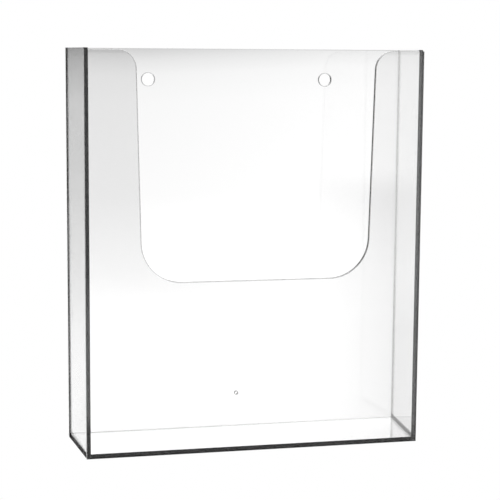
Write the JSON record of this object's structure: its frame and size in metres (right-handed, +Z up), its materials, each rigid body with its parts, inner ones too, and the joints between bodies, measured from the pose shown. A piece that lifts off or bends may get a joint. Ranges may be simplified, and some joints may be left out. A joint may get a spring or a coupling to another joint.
{
  "type": "magazine rack",
  "caption": "Clear acrylic wall magazine rack: a tall, shallow pocket open at the top, with a U-shaped cut-out in its front sheet and screw holes in its back sheet.",
  "frame": {"origin": "centre of the footprint, on the underside: midway between the side sheets and midway between the wall face and the front face", "axes": "+X to the rack's right as seen from the front, +Y towards the wall, so the front with its cut-out faces -Y, and +Z up"},
  "size_m": [0.248, 0.066, 0.28],
  "materials": {
    "back_acrylic": "clear cast acrylic, polished faces and polished cut edges",
    "front_acrylic": "clear cast acrylic, polished faces and polished cut edges",
    "side_acrylic": "clear cast acrylic, polished faces and polished cut edges",
    "base_acrylic": "clear cast acrylic, polished faces and polished cut edges"
  },
  "bodies": {
    "root": {"back_panel": "back_acrylic", "front_panel": "front_acrylic", "left_side": "side_acrylic", "right_side": "side_acrylic", "base_panel": "base_acrylic"}
  },
  "joints": []
}
